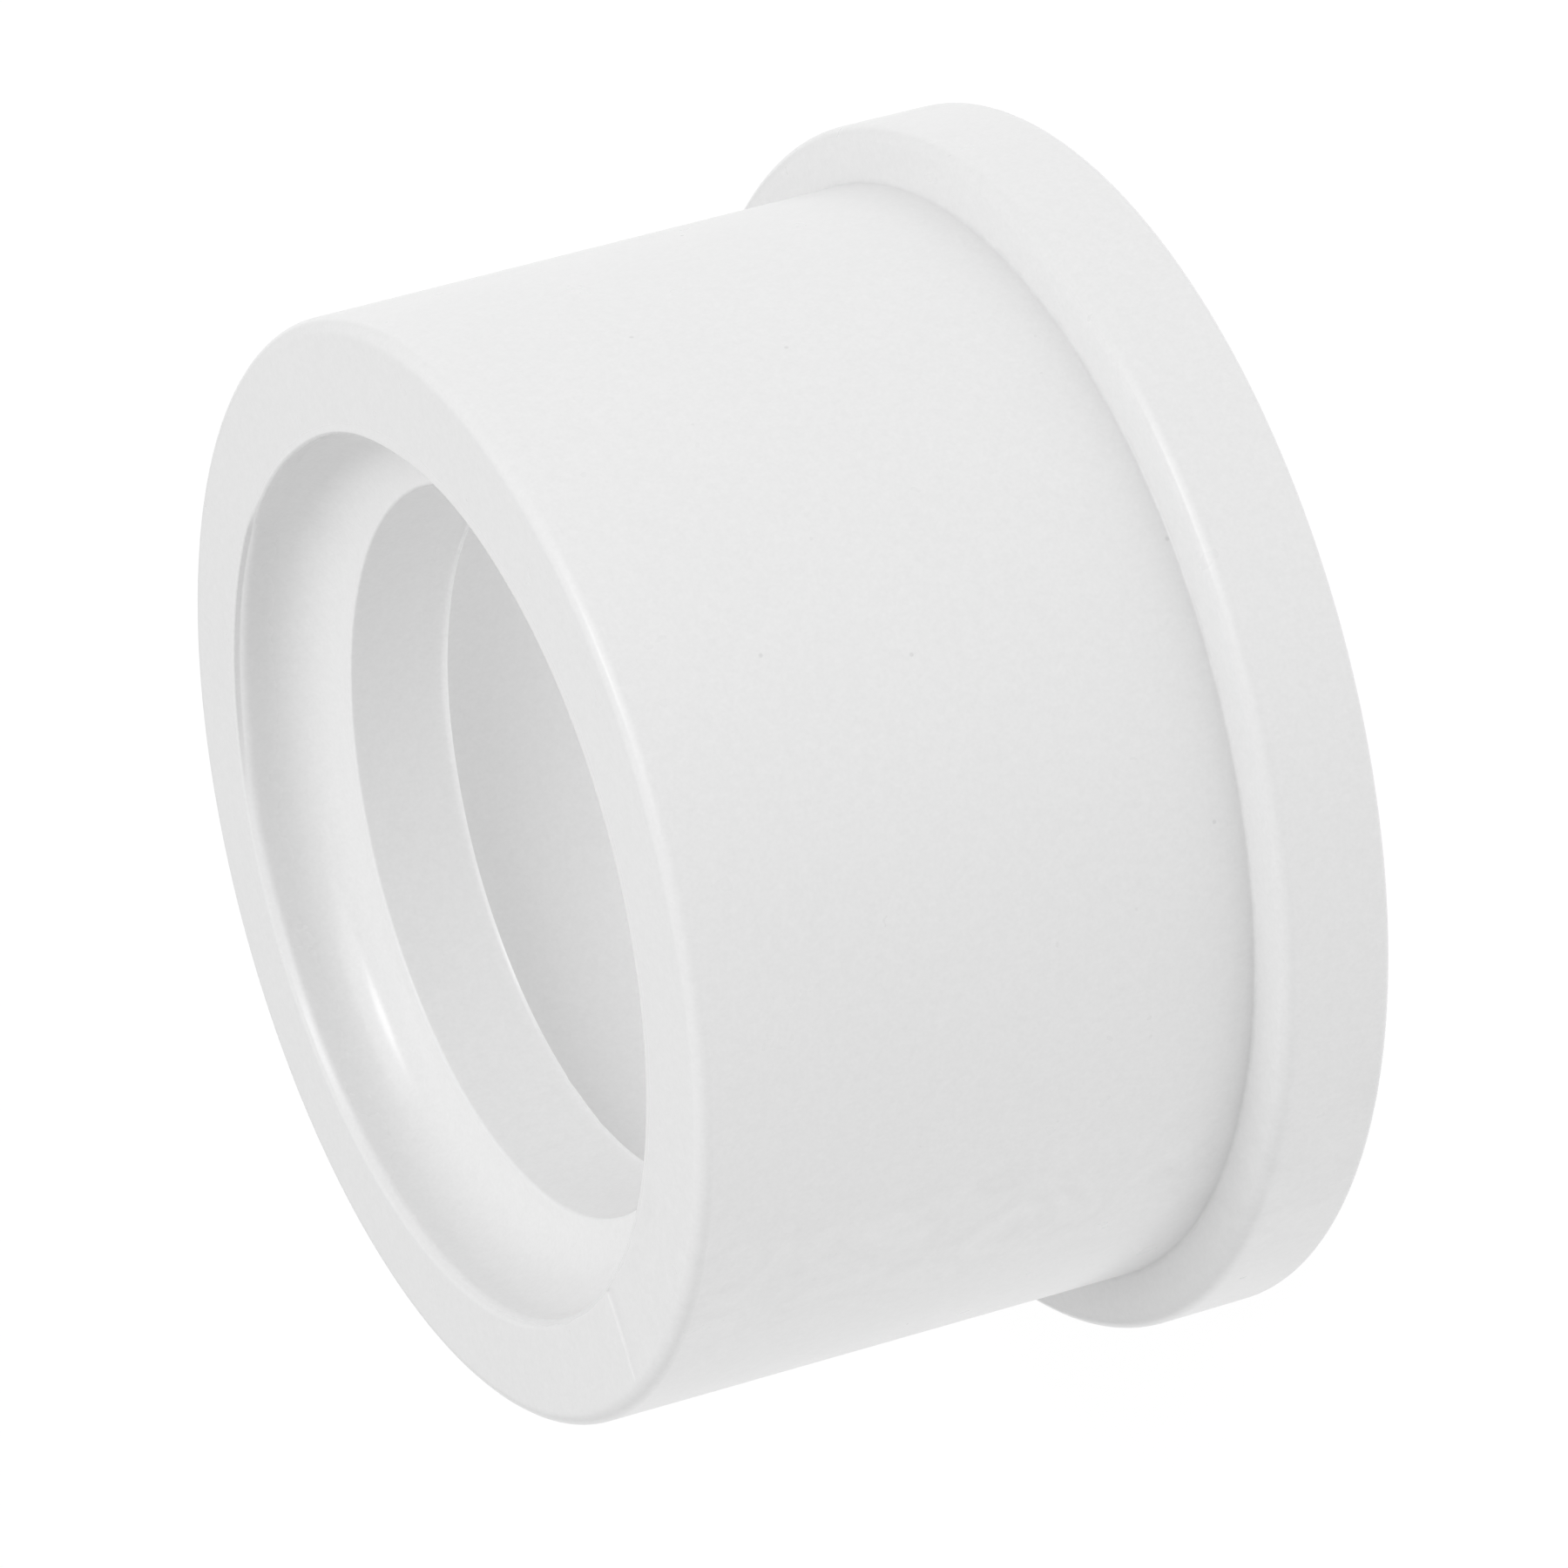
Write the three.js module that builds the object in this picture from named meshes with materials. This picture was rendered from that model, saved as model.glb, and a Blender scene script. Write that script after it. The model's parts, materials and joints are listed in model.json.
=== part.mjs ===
// Reducer bushing, spigot by socket, moulded in one piece from rigid white PVC.
//
// The outside of the long end (the spigot) is cemented into a 2 in fitting. A 1 1/2 in pipe is cemented
// into the socket in the collar end, and stands on the pipe stop inside. Millimetres, +Z up.
// The origin is the centre of the collar end face, and +Z runs along the bore to the spigot end.
import * as THREE from 'three';

// Spigot: the outside of a 2 in pipe, with the draft that lets the mould open.
const SPIGOT_TIP_DIAMETER = 60.1;
const SPIGOT_ROOT_DIAMETER = 60.55;
const SPIGOT_LENGTH = 32.2;
const SPIGOT_TIP_ROUNDING = 0.85;

// Collar: the lip that stops against the rim of the larger fitting.
const COLLAR_DIAMETER = 66.7;
const COLLAR_THICKNESS = 6.3;
const COLLAR_FRONT_ROUNDING = 0.9;
const COLLAR_BACK_ROUNDING = 0.3;

// Socket: takes a 1 1/2 in pipe, 48.26 mm outside, and narrows a little towards the stop.
const SOCKET_MOUTH_DIAMETER = 48.56;
const SOCKET_BOTTOM_DIAMETER = 48.11;
const SOCKET_DEPTH = 28.15;
const SOCKET_LEAD_IN = 0.8;
const SOCKET_CORNER_ROUNDING = 0.5;

// Pipe stop: the ring that the smaller pipe stands on.
const STOP_SPIGOT_SIDE_DIAMETER = 40.0;
const STOP_SOCKET_SIDE_DIAMETER = 39.0;
const STOP_SOCKET_SIDE_ROUNDING = 0.3;

// Recess that cores out the spigot end down to the stop, with a wide cove at its foot.
const RECESS_MOUTH_DIAMETER = 48.3;
const RECESS_FOOT_DIAMETER = 48.1;
const RECESS_DEPTH = 4.8;
const RECESS_MOUTH_ROUNDING = 0.4;
const RECESS_COVE_RADIUS = 3.45;

// Fineness of the faceted solid.
const SEGMENTS_AROUND = 96;
const FINE_ARC_STEPS = 3;
const COVE_ARC_STEPS = 6;

const QUARTER = Math.PI / 2;
const TOTAL_LENGTH = COLLAR_THICKNESS + SPIGOT_LENGTH;

// Points of an arc in the (radius, height) plane, from one angle to the other, both ends included.
function arc(centreRadius, centreHeight, arcRadius, fromAngle, toAngle, steps) {
  const points = [];
  for (let step = 0; step <= steps; step += 1) {
    const angle = fromAngle + ((toAngle - fromAngle) * step) / steps;
    const radius = centreRadius + arcRadius * Math.cos(angle);
    const height = centreHeight + arcRadius * Math.sin(angle);
    points.push(new THREE.Vector2(radius, height));
  }
  return points;
}

// Outside of the section, upwards from the collar end face to the spigot end face.
function outerProfile() {
  const collarRadius = COLLAR_DIAMETER / 2;
  const tipRadius = SPIGOT_TIP_DIAMETER / 2;
  const backRounding = arc(
    collarRadius - COLLAR_BACK_ROUNDING,
    COLLAR_BACK_ROUNDING,
    COLLAR_BACK_ROUNDING,
    -QUARTER,
    0,
    FINE_ARC_STEPS,
  );
  const frontRounding = arc(
    collarRadius - COLLAR_FRONT_ROUNDING,
    COLLAR_THICKNESS - COLLAR_FRONT_ROUNDING,
    COLLAR_FRONT_ROUNDING,
    0,
    QUARTER,
    FINE_ARC_STEPS,
  );
  const tipRounding = arc(
    tipRadius - SPIGOT_TIP_ROUNDING,
    TOTAL_LENGTH - SPIGOT_TIP_ROUNDING,
    SPIGOT_TIP_ROUNDING,
    0,
    QUARTER,
    FINE_ARC_STEPS,
  );
  const root = new THREE.Vector2(SPIGOT_ROOT_DIAMETER / 2, COLLAR_THICKNESS);
  return [...backRounding, ...frontRounding, root, ...tipRounding];
}

// Recess in the spigot end: rounded mouth, short wall, cove and flat shelf, going inwards.
function recessProfile() {
  const shelfHeight = TOTAL_LENGTH - RECESS_DEPTH;
  const mouthRounding = arc(
    RECESS_MOUTH_DIAMETER / 2 + RECESS_MOUTH_ROUNDING,
    TOTAL_LENGTH - RECESS_MOUTH_ROUNDING,
    RECESS_MOUTH_ROUNDING,
    QUARTER,
    2 * QUARTER,
    FINE_ARC_STEPS,
  );
  const cove = arc(
    RECESS_FOOT_DIAMETER / 2 - RECESS_COVE_RADIUS,
    shelfHeight + RECESS_COVE_RADIUS,
    RECESS_COVE_RADIUS,
    0,
    -QUARTER,
    COVE_ARC_STEPS,
  );
  return [...mouthRounding, ...cove];
}

// Bore of the pipe stop and the socket below it, down to the collar end face.
function boreProfile() {
  const stopHeight = SOCKET_DEPTH;
  const stopRounding = arc(
    STOP_SOCKET_SIDE_DIAMETER / 2 + STOP_SOCKET_SIDE_ROUNDING,
    stopHeight + STOP_SOCKET_SIDE_ROUNDING,
    STOP_SOCKET_SIDE_ROUNDING,
    2 * QUARTER,
    3 * QUARTER,
    FINE_ARC_STEPS,
  );
  const socketCorner = arc(
    SOCKET_BOTTOM_DIAMETER / 2 - SOCKET_CORNER_ROUNDING,
    stopHeight - SOCKET_CORNER_ROUNDING,
    SOCKET_CORNER_ROUNDING,
    QUARTER,
    0,
    FINE_ARC_STEPS,
  );
  return [
    new THREE.Vector2(STOP_SPIGOT_SIDE_DIAMETER / 2, TOTAL_LENGTH - RECESS_DEPTH),
    ...stopRounding,
    ...socketCorner,
    new THREE.Vector2(SOCKET_MOUTH_DIAMETER / 2, SOCKET_LEAD_IN),
    new THREE.Vector2(SOCKET_MOUTH_DIAMETER / 2 + SOCKET_LEAD_IN, 0),
  ];
}

// One moulding: its section closes on itself and is turned about the bore axis.
function makeBushing() {
  const section = [...outerProfile(), ...recessProfile(), ...boreProfile()];
  section.push(section[0].clone());
  const geometry = new THREE.LatheGeometry(section, SEGMENTS_AROUND);
  geometry.rotateX(QUARTER);
  const whitePvc = new THREE.MeshStandardMaterial({
    color: new THREE.Color(0.88, 0.88, 0.88),
    roughness: 0.35,
    metalness: 0,
  });
  const bushing = new THREE.Mesh(geometry, whitePvc);
  bushing.name = 'reducer_bushing';
  return bushing;
}

const part = new THREE.Group();
part.add(makeBushing());

export default part;
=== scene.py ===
"""Looks of the reducer bushing: one white PVC moulding, with the marks that its mould leaves on it.

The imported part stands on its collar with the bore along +Z. The camera is rolled, so the picture shows
it lying down with its spigot end to the left. All lengths are in metres. Azimuths are about the bore
axis, from +X towards +Y, and the side that is seen faces azimuth -90 degrees. A stretch of azimuths is
four numbers in degrees: where its effect starts, is whole, starts to fade and ends.
"""

import json
import math

import bpy
import numpy as np
from mathutils import Matrix, Vector


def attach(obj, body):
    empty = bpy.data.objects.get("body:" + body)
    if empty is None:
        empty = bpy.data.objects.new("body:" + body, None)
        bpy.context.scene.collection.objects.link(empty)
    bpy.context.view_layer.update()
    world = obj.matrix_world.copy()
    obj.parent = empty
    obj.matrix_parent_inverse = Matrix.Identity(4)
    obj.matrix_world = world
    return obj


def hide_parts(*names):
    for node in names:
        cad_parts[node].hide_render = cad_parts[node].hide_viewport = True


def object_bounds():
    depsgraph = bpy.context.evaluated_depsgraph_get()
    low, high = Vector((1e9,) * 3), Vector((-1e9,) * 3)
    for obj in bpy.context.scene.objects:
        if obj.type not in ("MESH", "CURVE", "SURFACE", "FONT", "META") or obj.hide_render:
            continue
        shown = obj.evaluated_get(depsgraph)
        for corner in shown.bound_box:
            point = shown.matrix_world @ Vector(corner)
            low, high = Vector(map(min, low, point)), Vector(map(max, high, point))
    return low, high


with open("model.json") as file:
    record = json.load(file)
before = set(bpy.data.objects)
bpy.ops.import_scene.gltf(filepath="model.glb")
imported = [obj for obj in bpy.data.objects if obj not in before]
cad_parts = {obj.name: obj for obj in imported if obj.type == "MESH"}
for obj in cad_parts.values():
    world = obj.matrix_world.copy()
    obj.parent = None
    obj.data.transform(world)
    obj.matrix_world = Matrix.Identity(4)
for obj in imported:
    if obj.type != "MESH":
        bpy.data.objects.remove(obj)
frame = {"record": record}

cad_low, cad_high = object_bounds()

MM = 0.001
MICRON = 0.001 * MM
QUARTER = math.pi / 2
NODE = "reducer_bushing"


def mount_height(name):
    """Height of one of the record's flat faces above the collar end."""
    found = [m for m in frame["record"]["mounts"] if m["name"] == name]
    return found[0]["pos_m"][2]


# Heights and the collar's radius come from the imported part.
COLLAR_RADIUS = cad_high.x
TOTAL_LENGTH = cad_high.z
SHOULDER_HEIGHT = mount_height("collar_shoulder")
STOP_HEIGHT = mount_height("pipe_stop_face")

# The other radii and edges repeat the CAD part's, with the small ones that its facets leave out.
SPIGOT_TIP_RADIUS = 30.05 * MM
SPIGOT_ROOT_RADIUS = 30.275 * MM
SPIGOT_TIP_ROUNDING = 0.85 * MM
ROOT_FILLET = 0.15 * MM
COLLAR_FRONT_ROUNDING = 0.9 * MM
COLLAR_BACK_ROUNDING = 0.3 * MM
SOCKET_MOUTH_RADIUS = 24.28 * MM
SOCKET_BOTTOM_RADIUS = 24.055 * MM
SOCKET_LEAD_IN = 0.8 * MM
SOCKET_LEAD_IN_ROUNDING = 0.15 * MM
SOCKET_CORNER_ROUNDING = 0.5 * MM
RECESS_DEPTH = 4.8 * MM
RECESS_COVE_RADIUS = 3.45 * MM
RECESS_DRAFT = 0.03 * MM

# Mouth of the recess. The core sat off-centre, so the mouth's edge and the wall under it are offset. The
# share is of the mouth's width, and each of its edges is rounded by that.
CORE_AZIMUTH = math.radians(98)
MOUTH_EDGE_RADIUS = 24.58 * MM
MOUTH_EDGE_OFFSET = 0.6 * MM
WALL_RADIUS = 24.15 * MM
WALL_OFFSET = 0.35 * MM
LEAST_MOUTH_WIDTH = 0.2 * MM
MOUTH_ROUNDING_SHARE = 0.75

# Along part of the mouth the edge breaks twice, with a narrow ledge between.
LEDGE_STRETCH = (27, 35, 58, 92)
LEDGE_EDGE_ROUNDING = 0.18 * MM
LEDGE_EDGE_ANGLE = math.radians(65)
LEDGE_DEPTH = 0.32 * MM
LEDGE_SLOPE = math.radians(35)
LEDGE_WIDENING = 0.17 * MM

# Along another part a thin, ragged burr stands in from the mouth.
BURR_STRETCH = (-95, -15, 24, 33)
BURR_HEIGHT = 0.4 * MM
BURR_RAGGEDNESS = 0.1
BURR_WAVES = 11

# Small notch in the mouth's edge, beside the knit line.
MOUTH_NOTCH_DEPTH = 0.08 * MM
MOUTH_NOTCH_AZIMUTH = math.radians(-159.5)
MOUTH_NOTCH_REACH = math.radians(0.9)

# Bore of the pipe stop. It narrows towards the socket and ends in a thin, slightly ragged lip.
STOP_AZIMUTH = math.radians(57)
STOP_TOP_RADIUS = 19.97 * MM
STOP_TOP_OFFSET = 0.17 * MM
STOP_TOP_ROUNDING = 0.15 * MM
LIP_RADIUS = 19.2 * MM
LIP_OFFSET = 0.2 * MM
LIP_ROUNDING = 0.05 * MM
LIP_BEAD_RADIUS = 0.35 * MM
LIP_BEAD_ANGLE = math.radians(50)
FLARE_RADIUS = 3.0 * MM
FLARE_ANGLE = math.radians(20)

# Over one stretch the lip is blunt. Elsewhere only these shares of its rounding and bead are left.
BLUNT_LIP_STRETCH = (10, 25, 55, 80)
LEAST_LIP_ROUNDING_SHARE = 0.3
LEAST_LIP_BEAD_SHARE = 0.05

# A fine raised ring just above the lip.
LIP_RING_STRETCH = (15, 25, 40, 60)
LIP_RING_HEIGHT = 0.025 * MM
LIP_RING_HALF_WIDTH = 0.08 * MM

# Waves round the lip, as a count, a phase and a height, and nicks, as an azimuth, a reach and a depth.
LIP_WAVES = [
    (5, 1.0, 0.02 * MM),
    (13, 0.0, 0.01 * MM),
]
LIP_NICKS = [
    (math.radians(131), math.radians(1.2), 0.09 * MM),
    (math.radians(142), math.radians(1.0), 0.07 * MM),
]

# Flash along the collar's front edge, at an angle up its rounding. It is faint all round, and plain to see
# over one short stretch.
FLASH_LEAST_HEIGHT = 0.004 * MM
FLASH_ADDED_HEIGHT = 0.022 * MM
FLASH_ANGLE = math.radians(60)
FLASH_HALF_WIDTH = math.radians(4)
FLASH_AZIMUTH = math.radians(-53.5)
FLASH_REACH = math.radians(5.5)

# Fine lines round the spigot's tip: angle up the rounding, and height, raised or sunk.
TIP_LINE_HALF_WIDTH = math.radians(5)
TIP_LINES = [
    (math.radians(8), 0.004 * MM),
    (math.radians(28), -0.004 * MM),
    (math.radians(74), 0.005 * MM),
]

# Knit line: where the plastic met again after flowing round the core. It leans a little off the radius.
KNIT_AZIMUTH = math.radians(-162.13)
KNIT_LEAN = math.radians(-2.13)
KNIT_LEAN_REACH = math.radians(9)
KNIT_INNER_RADIUS = 24.3 * MM
KNIT_OUTER_RADIUS = 29.8 * MM
KNIT_STEP = 0.07 * MM
KNIT_STEP_HALF_WIDTH = 0.06 * MM
KNIT_STEP_REACH = 0.6 * MM
KNIT_STEP_FADE_START = 27.9 * MM
KNIT_STEP_FADE_END = 28.6 * MM
KNIT_NOTCH_DEPTH = 0.08 * MM
KNIT_NOTCH_RADIUS = 28.7 * MM
KNIT_NOTCH_HALF_LENGTH = 0.5 * MM
KNIT_NOTCH_HALF_WIDTH = 0.09 * MM

# Gate: the flat left where the sprue was trimmed off the collar rim, opposite the knit line.
GATE_AZIMUTH = KNIT_AZIMUTH + math.pi
GATE_FLAT_DEPTH = 0.08 * MM
GATE_FLAT_EDGE = 0.25 * MM
GATE_LOW = 1.6 * MM
GATE_HIGH = 4.4 * MM
GATE_REACH = math.radians(30)

# The collar rim has even rows for the gate's flat, from a little above one rounding to below the other.
RIM_ROW_INSET = 0.2 * MM
RIM_ROW_STEPS = 11


def wrapped(angle):
    """The same angle between -pi and pi."""
    return (angle + math.pi) % (2 * math.pi) - math.pi


def bell(offset, reach):
    """1 at no offset, falling smoothly to nothing beyond the reach."""
    return np.exp(-((offset / reach) ** 2))


def ramp(value, low, high):
    """0 below low, 1 above high, smooth between."""
    share = np.clip((value - low) / (high - low), 0, 1)
    return share * share * (3 - 2 * share)


def column_azimuths(even_columns=480, close_columns=81, close_half_angle=math.radians(2.2)):
    """Azimuths of the mesh columns: even all round, and close together across the knit line."""
    even = np.linspace(-math.pi, math.pi, even_columns, endpoint=False)
    close = KNIT_AZIMUTH + np.linspace(-close_half_angle, close_half_angle, close_columns)
    clear = close_half_angle + math.pi / even_columns
    even = even[np.abs(wrapped(even - KNIT_AZIMUTH)) > clear]
    return np.sort(np.concatenate([even, wrapped(close)]))


AZIMUTHS = column_azimuths()


def arc(centre_radius, centre_height, radius, from_angle, to_angle, steps):
    """An arc of the section, both ends included, as rows x columns x (radius, height)."""
    angles = np.linspace(from_angle, to_angle, steps + 1)[:, None]
    radii = centre_radius + radius * np.cos(angles)
    heights = centre_height + radius * np.sin(angles)
    return np.stack(np.broadcast_arrays(radii, heights, AZIMUTHS)[:2], axis=-1)


def straight(radius, from_height, to_height, steps):
    """A straight upright stretch of the section, both ends included."""
    heights = np.linspace(from_height, to_height, steps + 1)[:, None]
    return np.stack(np.broadcast_arrays(radius, heights, AZIMUTHS)[:2], axis=-1)


def single_row(radius, height):
    """One row of the section."""
    return arc(radius, height, 0, 0, 0, 0)


def marked_rounding(centre_radius, centre_height, radius, lines, half_width, steps):
    """A quarter round with fine lines along it. Each has an angle and a height, raised or sunk."""
    parts = []
    start = 0.0
    for angle, height in lines:
        parts.append(arc(centre_radius, centre_height, radius, start, angle - half_width, steps))
        parts.append(arc(centre_radius, centre_height, radius + height, angle, angle, 0))
        start = angle + half_width
    parts.append(arc(centre_radius, centre_height, radius, start, QUARTER, steps))
    return parts


def flash_height():
    """Height of the flash along the collar's front edge."""
    return FLASH_LEAST_HEIGHT + FLASH_ADDED_HEIGHT * bell(wrapped(AZIMUTHS - FLASH_AZIMUTH), FLASH_REACH)


def outer_profile():
    """Outside of the section, from the collar end face up to the spigot end face."""
    back = COLLAR_BACK_ROUNDING
    front = COLLAR_FRONT_ROUNDING
    tip = SPIGOT_TIP_ROUNDING
    fillet = ROOT_FILLET
    front_centre = (COLLAR_RADIUS - front, SHOULDER_HEIGHT - front)
    root_centre = (SPIGOT_ROOT_RADIUS + fillet, SHOULDER_HEIGHT + fillet)
    tip_centre = (SPIGOT_TIP_RADIUS - tip, TOTAL_LENGTH - tip)
    rim_low = back + RIM_ROW_INSET
    rim_high = SHOULDER_HEIGHT - front - RIM_ROW_INSET
    return [
        arc(COLLAR_RADIUS - back, back, back, -QUARTER, 0, 5),
        straight(COLLAR_RADIUS, rim_low, rim_high, RIM_ROW_STEPS),
        *marked_rounding(*front_centre, front, [(FLASH_ANGLE, flash_height())], FLASH_HALF_WIDTH, 5),
        arc(*root_centre, fillet, -QUARTER, -2 * QUARTER, 3),
        *marked_rounding(*tip_centre, tip, TIP_LINES, TIP_LINE_HALF_WIDTH, 3),
    ]


def window(stretch):
    """1 over a stretch of azimuths, with soft ends, and 0 elsewhere."""
    start, whole, fade, end = stretch
    degrees = np.degrees(AZIMUTHS)
    return ramp(degrees, start, whole) * (1 - ramp(degrees, fade, end))


def offset_circle(radius, offset, azimuth):
    """Radius of a circle that sits a little off the bore axis, towards an azimuth."""
    return radius + offset * np.cos(AZIMUTHS - azimuth)


def mouth_edge_radius():
    """Radius at which the end face stops."""
    circle = offset_circle(MOUTH_EDGE_RADIUS, MOUTH_EDGE_OFFSET, CORE_AZIMUTH)
    ragged = 1 + BURR_RAGGEDNESS * np.sin(BURR_WAVES * AZIMUTHS)
    notch = MOUTH_NOTCH_DEPTH * bell(wrapped(AZIMUTHS - MOUTH_NOTCH_AZIMUTH), MOUTH_NOTCH_REACH)
    return circle - BURR_HEIGHT * ragged * window(BURR_STRETCH) + notch


def ledge_share():
    """1 where the mouth's edge breaks twice, 0 where it is one round."""
    return window(LEDGE_STRETCH)


def recess_wall_radius():
    """Radius of the recess's wall at its top."""
    return offset_circle(WALL_RADIUS, WALL_OFFSET, CORE_AZIMUTH) + LEDGE_WIDENING * ledge_share()


def mouth_profile():
    """Edge of the recess: a rounded bevel, or two edges and a ledge where the ledge's share is 1."""
    share = ledge_share()
    edge_radius = mouth_edge_radius()
    width = np.maximum(edge_radius - recess_wall_radius(), LEAST_MOUTH_WIDTH)
    bevel_rounding = MOUTH_ROUNDING_SHARE * width
    upper = bevel_rounding + (LEDGE_EDGE_ROUNDING - bevel_rounding) * share
    upper_angle = QUARTER / 2 + (LEDGE_EDGE_ANGLE - QUARTER / 2) * share
    lower_angle = QUARTER / 2 + (LEDGE_SLOPE - QUARTER / 2) * share
    ledge_foot = (width - upper * np.sin(upper_angle)) / (1 - np.sin(lower_angle))
    lower = bevel_rounding + (ledge_foot - bevel_rounding) * share
    bevel_foot = width - lower * np.cos(lower_angle)
    lower_start = bevel_foot + (LEDGE_DEPTH - bevel_foot) * share
    turn = np.linspace(0, 1, 6)[:, None]
    first = turn * upper_angle
    second = lower_angle + turn * (QUARTER - lower_angle)
    first_radii = edge_radius - upper * np.sin(first)
    first_depths = upper * (1 - np.cos(first))
    second_radii = edge_radius - width + lower * (1 - np.sin(second))
    second_depths = lower_start + lower * (np.cos(lower_angle) - np.cos(second))
    radii = np.concatenate([first_radii, second_radii])
    depths = np.concatenate([first_depths, second_depths])
    return np.stack([radii, TOTAL_LENGTH - depths], axis=-1)


def recess_profile():
    """Recess in the spigot end: mouth, wall, cove and shelf."""
    cove = RECESS_COVE_RADIUS
    foot = recess_wall_radius() - RECESS_DRAFT
    shelf_height = TOTAL_LENGTH - RECESS_DEPTH
    return [mouth_profile(), arc(foot - cove, shelf_height + cove, cove, 0, -QUARTER, 13)]


def lip_radius():
    """Inner radius of the pipe stop's thin edge, which is a little ragged."""
    radius = offset_circle(LIP_RADIUS, LIP_OFFSET, STOP_AZIMUTH)
    for count, phase, height in LIP_WAVES:
        radius = radius + height * np.sin(count * AZIMUTHS + phase)
    for azimuth, reach, depth in LIP_NICKS:
        radius = radius + depth * bell(wrapped(AZIMUTHS - azimuth), reach)
    return radius


def bore_profile():
    """Bore of the pipe stop and the socket below it, down to the collar end face."""
    upper = STOP_TOP_ROUNDING
    top = offset_circle(STOP_TOP_RADIUS, STOP_TOP_OFFSET, STOP_AZIMUTH)
    top_height = TOTAL_LENGTH - RECESS_DEPTH - upper
    flare = FLARE_RADIUS
    blunt = window(BLUNT_LIP_STRETCH)
    edge = LIP_ROUNDING * (LEAST_LIP_ROUNDING_SHARE + (1 - LEAST_LIP_ROUNDING_SHARE) * blunt)
    bead = LIP_BEAD_RADIUS * (LEAST_LIP_BEAD_SHARE + (1 - LEAST_LIP_BEAD_SHARE) * blunt)
    lip = lip_radius()
    bead_centre = lip + edge * (1 - math.cos(LIP_BEAD_ANGLE)) - bead * math.cos(LIP_BEAD_ANGLE)
    bead_height = STOP_HEIGHT + edge + (edge + bead) * math.sin(LIP_BEAD_ANGLE)
    waist = bead_centre + bead * math.cos(FLARE_ANGLE) + flare * (1 - math.cos(FLARE_ANGLE))
    flare_height = bead_height + (flare - bead) * math.sin(FLARE_ANGLE)
    slope = (top - waist) / (top_height - flare_height)
    ring = LIP_RING_HALF_WIDTH
    ring_relief = LIP_RING_HEIGHT * window(LIP_RING_STRETCH)
    corner = SOCKET_CORNER_ROUNDING
    lead = SOCKET_LEAD_IN
    mouth = SOCKET_LEAD_IN_ROUNDING
    return [
        arc(top + upper, top_height, upper, QUARTER, 2 * QUARTER, 4),
        single_row(waist + slope * 3 * ring, flare_height + 3 * ring),
        single_row(waist + slope * 2 * ring - ring_relief, flare_height + 2 * ring),
        single_row(waist + slope * ring, flare_height + ring),
        arc(waist - flare, flare_height, flare, 0, -FLARE_ANGLE, 4),
        arc(bead_centre, bead_height, bead, -FLARE_ANGLE, -LIP_BEAD_ANGLE, 3),
        arc(lip + edge, STOP_HEIGHT + edge, edge, 2 * QUARTER - LIP_BEAD_ANGLE, 3 * QUARTER, 5),
        arc(SOCKET_BOTTOM_RADIUS - corner, STOP_HEIGHT - corner, corner, QUARTER, 0, 4),
        arc(SOCKET_MOUTH_RADIUS + mouth, lead + mouth, mouth, 2 * QUARTER, 2.5 * QUARTER, 3),
        arc(SOCKET_MOUTH_RADIUS + lead + mouth, mouth, mouth, 2.5 * QUARTER, 3 * QUARTER, 3),
    ]


def run_shares(length, shortest_cut=0.8 * MM, guard=0.12 * MM, longest=2.0 * MM):
    """Where a run is cut: near both ends, so that its shading stays flat, and evenly between."""
    if length < shortest_cut:
        return [0.0]
    near_end = guard / length
    cuts = max(2, math.ceil(length / longest) + 1)
    return [0.0, *np.linspace(near_end, 1 - near_end, cuts)]


def closed_section():
    """Every row of the moulding, in turn round its section, as rows x columns x (radius, height)."""
    corners = np.concatenate(outer_profile() + recess_profile() + bore_profile())
    rows = []
    for start, end in zip(corners, np.roll(corners, -1, axis=0)):
        length = float(np.linalg.norm(end - start, axis=-1).max())
        rows += [start + (end - start) * share for share in run_shares(length)]
    return np.array(rows)


def knit_relief(radii, heights):
    """Relief of the knit line on the end face: a fine step, with a short notch at its outer end."""
    on_face = heights > TOTAL_LENGTH - MICRON
    across = wrapped(AZIMUTHS - KNIT_AZIMUTH) * radii
    side = 1 - 2 * ramp(across, -KNIT_STEP_HALF_WIDTH, KNIT_STEP_HALF_WIDTH)
    kept = 1 - ramp(radii, KNIT_STEP_FADE_START, KNIT_STEP_FADE_END)
    step = KNIT_STEP * ((side - 1) / 2) * bell(across, KNIT_STEP_REACH) * kept
    along = bell(radii - KNIT_NOTCH_RADIUS, KNIT_NOTCH_HALF_LENGTH)
    notch = KNIT_NOTCH_DEPTH * bell(across, KNIT_NOTCH_HALF_WIDTH) * along
    return np.where(on_face, step - notch, 0)


def leaning_azimuths(radii):
    """Azimuth of every point: near the knit line the columns lean, so that the line lies along them."""
    along = np.clip((radii - KNIT_INNER_RADIUS) / (KNIT_OUTER_RADIUS - KNIT_INNER_RADIUS), 0, 1) - 0.5
    near = bell(wrapped(AZIMUTHS - KNIT_AZIMUTH), KNIT_LEAN_REACH)
    return AZIMUTHS + KNIT_LEAN * along * near


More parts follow.
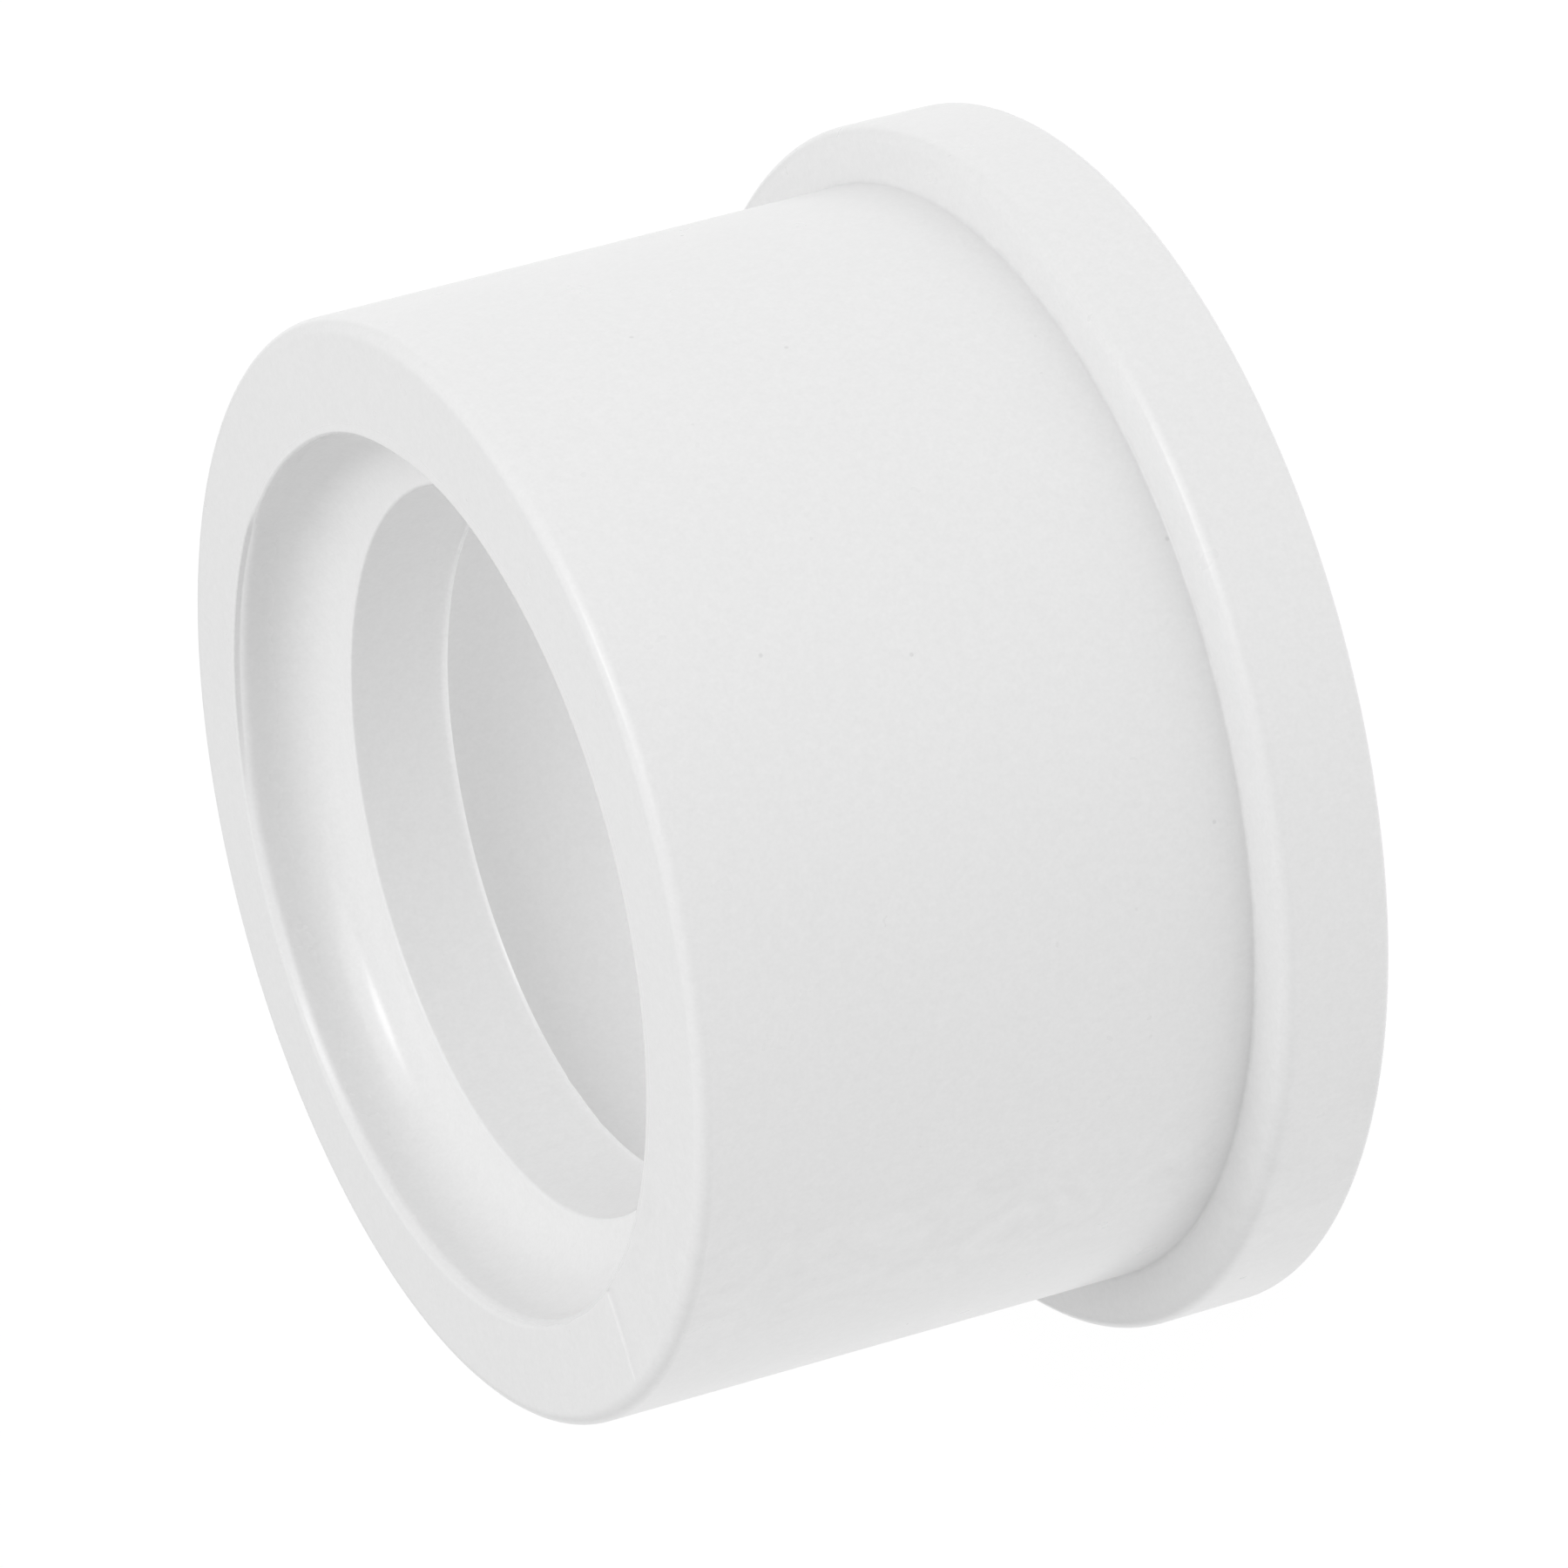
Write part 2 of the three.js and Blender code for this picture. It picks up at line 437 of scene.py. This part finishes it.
def trimmed_gate(radii, heights):
    """Radii of the collar rim with the gate's flat cut across it."""
    turn = wrapped(AZIMUTHS - GATE_AZIMUTH)
    facing = np.abs(turn) < GATE_REACH
    flat = (COLLAR_RADIUS - GATE_FLAT_DEPTH) / np.where(facing, np.cos(turn), 1)
    edge = GATE_FLAT_EDGE
    inside = ramp(heights, GATE_LOW, GATE_LOW + edge) * (1 - ramp(heights, GATE_HIGH - edge, GATE_HIGH))
    on_rim = (radii > flat) & facing
    return np.where(on_rim, radii + (flat - radii) * inside, radii)


def make_moulding():
    """The visible moulding: its section turned about the bore axis, with the marks of the mould."""
    section = closed_section()
    radii, heights = section[..., 0], section[..., 1]
    heights = heights + knit_relief(radii, heights)
    azimuths = leaning_azimuths(radii)
    radii = trimmed_gate(radii, heights)
    points = np.stack([radii * np.cos(azimuths), radii * np.sin(azimuths), heights], axis=-1)
    rows, columns = radii.shape
    row, column = np.meshgrid(np.arange(rows), np.arange(columns), indexing="ij")
    next_row = (row + 1) % rows
    next_column = (column + 1) % columns
    corners = [
        row * columns + column,
        row * columns + next_column,
        next_row * columns + next_column,
        next_row * columns + column,
    ]
    faces = np.stack(corners, axis=-1).reshape(-1, 4)
    mesh = bpy.data.meshes.new("moulded_bushing")
    mesh.from_pydata(points.reshape(-1, 3).tolist(), [], faces.tolist())
    mesh.validate()
    mesh.shade_smooth()
    moulding = bpy.data.objects.new("moulded_bushing", mesh)
    bpy.context.scene.collection.objects.link(moulding)
    return moulding


# Material. The mould's cavity leaves a satin skin outside. Its polished cores leave a glossier one inside,
# which is also painted slightly lighter, as painted light in the recess and bore. Every pair named FADE is
# where a change starts and where it is complete.
PVC_GREY = 0.89
SKIN_ROUGHNESS = 0.30
CORE_ROUGHNESS = 0.22
CORE_PAINTED_LIGHT = 0.015
CORE_FADE = (24.2 * MM, 24.6 * MM)

# The pipe stop's lip is painted lighter, as painted light for the light that comes through it. This fades
# out round one side.
LIP_PAINTED_LIGHT = 0.06
LIP_TOP_FADE = (STOP_HEIGHT + 0.15 * MM, STOP_HEIGHT + 0.45 * MM)
LIP_BOTTOM_FADE = (STOP_HEIGHT - 0.05 * MM, STOP_HEIGHT + 0.05 * MM)
LIP_RADIUS_FADE = (LIP_RADIUS + 0.4 * MM, LIP_RADIUS + 0.5 * MM)
LIP_AZIMUTH_FADE = (math.radians(60), math.radians(115))

# Noise in the tone and the gloss: scale per metre, detail, and how far it goes up and down.
CLOUDS = (70.0, 3.0, 0.006)
COARSE_GRAIN = (1800.0, 1.0, 0.012)
FINE_GRAIN = (5000.0, 1.0, 0.019)
GLOSS_VARIATION = (420.0, 3.0, 0.12)

# Noise in the relief: scale per metre, detail, and height in microns.
RIPPLE = (800.0, 2.0, 6.0)
PORES = (5200.0, 1.0, 1.2)

# Flow marks: waves in the tone and the relief, in a strip along the part. Heights are in microns.
FLOW_AZIMUTH = math.radians(-145)
FLOW_FADE = (math.radians(4), math.radians(14))
FLOW_SCALE = 190.0
FLOW_DETAIL = 2.0
FLOW_DISTORTION = 2.5
FLOW_TONE = 0.1
FLOW_HEIGHT = 30.0

# Patches that are darker in the corner between spigot and collar.
CORNER_DARKENING = 0.04
CORNER_PATCH_SCALE = 900.0
CORNER_PATCH_DETAIL = 3.0
CORNER_PATCH_FADE = (0.35, 0.65)
CORNER_HEIGHT = SHOULDER_HEIGHT + 0.05 * MM
CORNER_HEIGHT_FADE = (0.05 * MM, 0.2 * MM)
CORNER_RADIUS_FADE = (SPIGOT_ROOT_RADIUS + 0.15 * MM, SPIGOT_ROOT_RADIUS + 0.35 * MM)

# Dark specks in the plastic on the side that is seen: azimuth in degrees and height above the collar end.
SPECK_TONE = 0.88
SPECK_FADE = (0.06 * MM, 0.16 * MM)
SPECKS = [
    (-77.5, 30.2 * MM),
    (-81.2, 22.3 * MM),
    (-44.2, 20.6 * MM),
    (-36.5, 27.5 * MM),
    (-104.6, 8.0 * MM),
    (-76.6, 6.5 * MM),
    (-39.7, 6.1 * MM),
]


class NodeGraph:
    """Short ways to add and link shader nodes."""

    def __init__(self, tree):
        self.tree = tree

    def node(self, kind, inputs=(), **settings):
        node = self.tree.nodes.new(kind)
        for name, value in settings.items():
            setattr(node, name, value)
        for name, value in dict(inputs).items():
            self.feed(node.inputs[name], value)
        return node

    def feed(self, socket, value):
        if isinstance(value, bpy.types.NodeSocket):
            self.tree.links.new(value, socket)
        else:
            socket.default_value = value

    def math(self, operation, first, second=0.0):
        return self.node("ShaderNodeMath", {0: first, 1: second}, operation=operation).outputs[0]

    def vector_math(self, operation, first, second=(0, 0, 0)):
        node = self.node("ShaderNodeVectorMath", {0: first, 1: second}, operation=operation)
        return node.outputs["Value"]

    def map_range(self, value, low, high, to_low, to_high, interpolation):
        inputs = {"Value": value, "From Min": low, "From Max": high, "To Min": to_low, "To Max": to_high}
        return self.node("ShaderNodeMapRange", inputs, interpolation_type=interpolation).outputs[0]

    def smooth(self, value, fade, before, after):
        """One number before a fade, another after it, and smooth between."""
        start, end = fade
        return self.map_range(value, start, end, before, after, "SMOOTHSTEP")

    def noise(self, place, scale, detail, distortion=0.0):
        inputs = {"Vector": place, "Scale": scale, "Detail": detail, "Distortion": distortion}
        return self.node("ShaderNodeTexNoise", inputs).outputs["Fac"]

    def variation(self, place, scale, detail, half_range):
        """Noise as a factor about one. Raw noise is about a half and seldom leaves 0.2 to 0.8."""
        raw = self.noise(place, scale, detail)
        return self.map_range(raw, 0.2, 0.8, 1 - half_range, 1 + half_range, "LINEAR")

    def relief(self, place, scale, detail, height):
        return self.product(self.noise(place, scale, detail), height)

    def product(self, *values):
        total = values[0]
        for value in values[1:]:
            total = self.math("MULTIPLY", total, value)
        return total

    def one_plus(self, *values):
        return self.math("ADD", 1.0, self.product(*values))


def speck_factor(graph, place):
    """1 on clean plastic and less on a speck."""
    factor = 1.0
    for azimuth, height in SPECKS:
        turn = math.radians(azimuth)
        share = (height - SHOULDER_HEIGHT) / (TOTAL_LENGTH - SHOULDER_HEIGHT)
        radius = SPIGOT_ROOT_RADIUS + (SPIGOT_TIP_RADIUS - SPIGOT_ROOT_RADIUS) * share
        spot = (radius * math.cos(turn), radius * math.sin(turn), height)
        away = graph.vector_math("DISTANCE", place, spot)
        factor = graph.product(graph.smooth(away, SPECK_FADE, SPECK_TONE, 1.0), factor)
    return factor


def flow_marks(graph, place, azimuth):
    """Waves about nothing in the strip of flow marks, and nothing elsewhere."""
    turn = graph.math("ABSOLUTE", graph.math("SUBTRACT", azimuth, FLOW_AZIMUTH))
    waves = graph.math("SUBTRACT", graph.noise(place, FLOW_SCALE, FLOW_DETAIL, FLOW_DISTORTION), 0.5)
    return graph.product(waves, graph.smooth(turn, FLOW_FADE, 1.0, 0.0))


def darker_corner_patches(graph, place, height, radius):
    """1 on the patches that are darker in the corner between spigot and collar."""
    away = graph.math("ABSOLUTE", graph.math("SUBTRACT", height, CORNER_HEIGHT))
    return graph.product(
        graph.smooth(away, CORNER_HEIGHT_FADE, 1.0, 0.0),
        graph.smooth(radius, CORNER_RADIUS_FADE, 1.0, 0.0),
        graph.smooth(graph.noise(place, CORNER_PATCH_SCALE, CORNER_PATCH_DETAIL), CORNER_PATCH_FADE, 0.0, 1.0),
    )


def painted_lip_light(graph, height, radius, azimuth):
    """1 on the pipe stop's lip, where the light that comes through it is painted."""
    return graph.product(
        graph.smooth(height, LIP_TOP_FADE, 1.0, 0.0),
        graph.smooth(height, LIP_BOTTOM_FADE, 0.0, 1.0),
        graph.smooth(radius, LIP_RADIUS_FADE, 1.0, 0.0),
        graph.smooth(azimuth, LIP_AZIMUTH_FADE, 1.0, 0.0),
    )


def make_pvc():
    """White PVC: faintly cloudy and finely grained, with flow marks, specks, patches darker in the corner,
    and painted light inside and on the lip.
    """
    material = bpy.data.materials.new("white_pvc")
    material.use_nodes = True
    graph = NodeGraph(material.node_tree)
    shader = material.node_tree.nodes["Principled BSDF"]
    place = graph.node("ShaderNodeTexCoord").outputs["Object"]
    parts = graph.node("ShaderNodeSeparateXYZ", {0: place}).outputs
    height = parts["Z"]
    flat_place = graph.node("ShaderNodeCombineXYZ", {"X": parts["X"], "Y": parts["Y"]}).outputs[0]
    radius = graph.vector_math("LENGTH", flat_place)
    azimuth = graph.math("ARCTAN2", parts["Y"], parts["X"])
    flow = flow_marks(graph, place, azimuth)

    tone = graph.product(
        graph.variation(place, *CLOUDS),
        graph.variation(place, *FINE_GRAIN),
        graph.variation(place, *COARSE_GRAIN),
        graph.one_plus(flow, FLOW_TONE),
        # Darker in patches in the corner between spigot and collar.
        graph.one_plus(darker_corner_patches(graph, place, height, radius), -CORNER_DARKENING),
        # Painted light on the lip, for the light that comes through it.
        graph.one_plus(painted_lip_light(graph, height, radius, azimuth), LIP_PAINTED_LIGHT),
        # Painted light: the inside surfaces are painted slightly lighter than the outside.
        graph.smooth(radius, CORE_FADE, 1 + CORE_PAINTED_LIGHT, 1.0),
        speck_factor(graph, place),
        PVC_GREY,
    )
    colour = graph.node("ShaderNodeCombineColor", {"Red": tone, "Green": tone, "Blue": tone})
    graph.feed(shader.inputs["Base Color"], colour.outputs[0])

    roughness = graph.smooth(radius, CORE_FADE, CORE_ROUGHNESS, SKIN_ROUGHNESS)
    uneven_roughness = graph.product(roughness, graph.variation(place, *GLOSS_VARIATION))
    graph.feed(shader.inputs["Roughness"], uneven_roughness)

    skin_relief = graph.math("ADD", graph.relief(place, *RIPPLE), graph.relief(place, *PORES))
    relief = graph.math("ADD", skin_relief, graph.product(flow, FLOW_HEIGHT))
    bump = graph.node("ShaderNodeBump", {"Height": relief, "Distance": MICRON, "Strength": 1.0})
    graph.feed(shader.inputs["Normal"], bump.outputs[0])
    return material


# Camera. It looks at the spigot end from 66 degrees off the bore axis, rolled by 105 degrees.
VIEW_ANGLE_FROM_BORE = math.radians(66.12)
CAMERA_ROLL = math.radians(-105.0)
CAMERA_DISTANCE = 0.552
AIM_RIGHT_OF_TIP = 18.31 * MM
AIM_ABOVE_TIP = 4.86 * MM
LENS_MM = 240.8
SENSOR_MM = 36.0
CLIP_START = 0.05
CLIP_END = 20

# Square softboxes: direction from the part in the picture's axes, side and watts.
SOFTBOX_DISTANCE = 0.7
SOFTBOXES = {
    "key_softbox": ((-0.60, 0.20, 0.75), 0.5, 1.05),
    "key_centre": ((-0.82, 0.12, 0.56), 0.14, 0.42),
}

# The studio round the part is white, and brighter on the picture's left and in front. Each soft lobe has
# a direction in the picture's axes, a power that narrows it, and a strength.
STUDIO_LIGHT = 0.33
STUDIO_LOBES = [
    ((-1.0, 0.0, 0.0), 1.0, 0.3),
    ((-0.7, -0.6, 0.4), 3.0, 0.36),
    ((-0.3, 0.6, 0.7), 2.0, 0.15),
]
FLOOR_HALF_WIDTH = 4.0
FLOOR_GREY = 0.1
FLOOR_GLOW = 0.93


def picture_axes():
    """The picture's right, up and towards-the-viewer directions in the part's frame."""
    level_right = Vector((1, 0, 0))
    level_up = Vector((0, math.cos(VIEW_ANGLE_FROM_BORE), math.sin(VIEW_ANGLE_FROM_BORE)))
    back = level_right.cross(level_up)
    right = math.cos(CAMERA_ROLL) * level_right + math.sin(CAMERA_ROLL) * level_up
    up = math.cos(CAMERA_ROLL) * level_up - math.sin(CAMERA_ROLL) * level_right
    return right, up, back


def make_camera():
    """A long lens that looks into the spigot end from one side."""
    right, up, back = picture_axes()
    data = bpy.data.cameras.new("camera")
    data.lens = LENS_MM
    data.sensor_width = SENSOR_MM
    data.clip_start = CLIP_START
    data.clip_end = CLIP_END
    camera = bpy.data.objects.new("camera", data)
    camera.rotation_mode = "QUATERNION"
    camera.rotation_quaternion = Matrix((right, up, back)).transposed().to_quaternion()
    tip_centre = Vector((0, 0, TOTAL_LENGTH))
    aside = right * AIM_RIGHT_OF_TIP + up * AIM_ABOVE_TIP
    camera.location = tip_centre + back * CAMERA_DISTANCE + aside
    bpy.context.scene.collection.objects.link(camera)
    bpy.context.scene.camera = camera


def make_softbox(name, direction, side, power):
    """A square soft light that faces the part from a direction."""
    data = bpy.data.lights.new(name, "AREA")
    data.shape = "SQUARE"
    data.size = side
    data.energy = power
    lamp = bpy.data.objects.new(name, data)
    towards = direction.normalized()
    lamp.rotation_mode = "QUATERNION"
    lamp.rotation_quaternion = towards.to_track_quat("Z", "Y")
    lamp.location = Vector((0, 0, TOTAL_LENGTH / 2)) + towards * SOFTBOX_DISTANCE
    bpy.context.scene.collection.objects.link(lamp)


def make_lights():
    """The softboxes, and the white studio round them."""
    right, up, back = picture_axes()
    for name, (direction, side, power) in SOFTBOXES.items():
        towards = right * direction[0] + up * direction[1] + back * direction[2]
        make_softbox(name, towards, side, power)
    world = bpy.data.worlds.new("studio")
    world.use_nodes = True
    background = world.node_tree.nodes["Background"]
    background.inputs["Color"].default_value = (1, 1, 1, 1)
    graph = NodeGraph(world.node_tree)
    direction = graph.node("ShaderNodeTexCoord").outputs["Generated"]
    strength = STUDIO_LIGHT
    for lobe, power, light in STUDIO_LOBES:
        middle = (right * lobe[0] + up * lobe[1] + back * lobe[2]).normalized()
        facing = graph.vector_math("DOT_PRODUCT", direction, middle)
        share = graph.math("POWER", graph.math("MAXIMUM", facing, 0.0), power)
        strength = graph.math("ADD", graph.math("MULTIPLY", share, light), strength)
    graph.feed(background.inputs["Strength"], strength)
    bpy.context.scene.world = world


def make_floor():
    """A plain white floor that glows a little, so that it stays white behind a white part."""
    mesh = bpy.data.meshes.new("floor")
    half = FLOOR_HALF_WIDTH
    corners = [(-half, -half, 0), (half, -half, 0), (half, half, 0), (-half, half, 0)]
    mesh.from_pydata(corners, [], [(0, 1, 2, 3)])
    floor = bpy.data.objects.new("floor", mesh)
    bpy.context.scene.collection.objects.link(floor)
    material = bpy.data.materials.new("pale_floor")
    material.use_nodes = True
    shader = material.node_tree.nodes["Principled BSDF"]
    shader.inputs["Base Color"].default_value = (FLOOR_GREY, FLOOR_GREY, FLOOR_GREY, 1)
    shader.inputs["Roughness"].default_value = 1.0
    shader.inputs["Specular IOR Level"].default_value = 0.0
    shader.inputs["Emission Color"].default_value = (1, 1, 1, 1)
    shader.inputs["Emission Strength"].default_value = FLOOR_GLOW
    mesh.materials.append(material)


make_camera()
make_lights()
make_floor()
bpy.context.scene.view_settings.view_transform = "Standard"

moulding = make_moulding()
moulding.data.materials.append(make_pvc())
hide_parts(NODE)
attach(moulding, "root")
